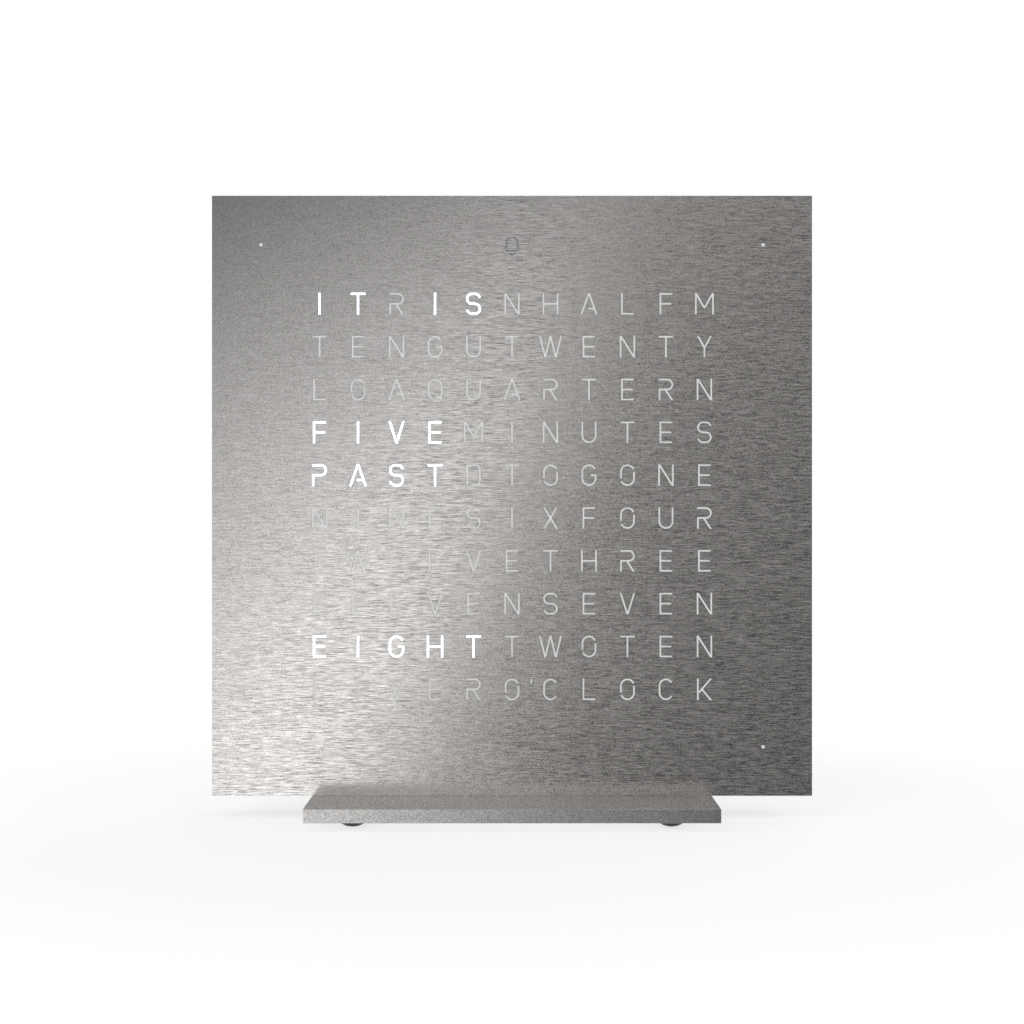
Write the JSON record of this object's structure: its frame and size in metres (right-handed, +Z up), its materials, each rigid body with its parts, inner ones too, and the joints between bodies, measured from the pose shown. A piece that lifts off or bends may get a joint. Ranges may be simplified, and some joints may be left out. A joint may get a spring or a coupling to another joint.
{
  "type": "word clock",
  "caption": "Desk clock that spells the time with lit letters cut through a square steel plate, on a metal base plate, with a lift-off front and push buttons at the rear.",
  "frame": {"origin": "on the table, under the middle of the base plate", "axes": "+Z up, the letters face -Y, +X to the right as seen from the front"},
  "size_m": [0.135, 0.0566, 0.1401],
  "materials": {
    "brushed_steel_plate": "horizontally brushed",
    "blasted_steel": "bead blasted",
    "letter_resin": "translucent, unlit",
    "lit_letter_resin": "translucent, lit from behind",
    "dark_resin": "translucent, unlit, smoked",
    "diffuser_film": "opal film",
    "keeper_steel": "ground",
    "nickel_plating": "bright nickel",
    "white_plastic": "moulded",
    "led_resin": "phosphor filled",
    "circuit_board": "solder mask",
    "chip_plastic": "moulded",
    "connector_plastic": "moulded",
    "screw_steel": "zinc plated",
    "black_screw_steel": "black oxide",
    "speaker_steel": "black frame",
    "socket_steel": "tin plated",
    "housing_plastic": "fine spark texture",
    "button_plastic": "satin",
    "plunger_plastic": "moulded",
    "spacer_aluminium": "milled",
    "insert_brass": "turned",
    "foot_rubber": "moulded"
  },
  "bodies": {
    "clock_body": {"magnets": "nickel_plating", "light_baffle": "white_plastic", "leds": "led_resin", "led_board": "circuit_board", "led_driver_chips": "chip_plastic", "led_board_screws": "screw_steel", "board_connector": "connector_plastic", "control_board": "circuit_board", "control_board_screws": "screw_steel", "control_chips": "chip_plastic", "coin_cell_holder": "connector_plastic", "coin_cell": "nickel_plating", "speaker": "speaker_steel", "power_socket": "socket_steel", "power_socket_tongue": "connector_plastic", "switch_cases": "connector_plastic", "housing_frame": "housing_plastic", "rear_cover": "housing_plastic", "rear_cover_screws": "black_screw_steel", "stand_spacer": "spacer_aluminium", "base_plate": "blasted_steel", "base_screws": "screw_steel", "base_inserts": "insert_brass", "rubber_feet": "foot_rubber"},
    "front_cover": {"front_cover": "brushed_steel_plate", "diffuser_sheet": "diffuser_film", "keeper_discs": "keeper_steel", "letters_it_is": "lit_letter_resin", "letters_half": "letter_resin", "letters_ten_minutes": "letter_resin", "letters_twenty": "letter_resin", "letters_a_quarter": "letter_resin", "letters_five_minutes": "lit_letter_resin", "letters_minutes": "letter_resin", "letters_past": "lit_letter_resin", "letters_to": "letter_resin", "letters_one": "letter_resin", "letters_nine": "letter_resin", "letters_six": "letter_resin", "letters_four": "letter_resin", "letters_twelve": "letter_resin", "letters_three": "letter_resin", "letters_eleven": "letter_resin", "letters_seven": "letter_resin", "letters_eight": "lit_letter_resin", "letters_two": "letter_resin", "letters_ten_oclock": "letter_resin", "letters_five_oclock": "letter_resin", "letters_oclock": "letter_resin", "letters_spare": "letter_resin", "minute_dots": "letter_resin", "alarm_sign": "dark_resin"},
    "set_button": {"set_button": "button_plastic", "set_switch_plunger": "plunger_plastic"},
    "alarm_button": {"alarm_button": "button_plastic", "alarm_switch_plunger": "plunger_plastic"},
    "light_button": {"light_button": "button_plastic", "light_switch_plunger": "plunger_plastic"}
  },
  "joints": [
    {"name": "cover_lift_off", "type": "slide", "parent": "clock_body", "child": "front_cover", "axis": [0, -1, 0], "range_m": [0, 0.025]},
    {"name": "set_button_press", "type": "slide", "parent": "clock_body", "child": "set_button", "axis": [0, -1, 0], "range_m": [0, 0.0005], "stiffness_N_per_m": 800, "springref_m": -0.001},
    {"name": "alarm_button_press", "type": "slide", "parent": "clock_body", "child": "alarm_button", "axis": [0, -1, 0], "range_m": [0, 0.0005], "stiffness_N_per_m": 800, "springref_m": -0.001},
    {"name": "light_button_press", "type": "slide", "parent": "clock_body", "child": "light_button", "axis": [0, -1, 0], "range_m": [0, 0.0005], "stiffness_N_per_m": 800, "springref_m": -0.001}
  ]
}
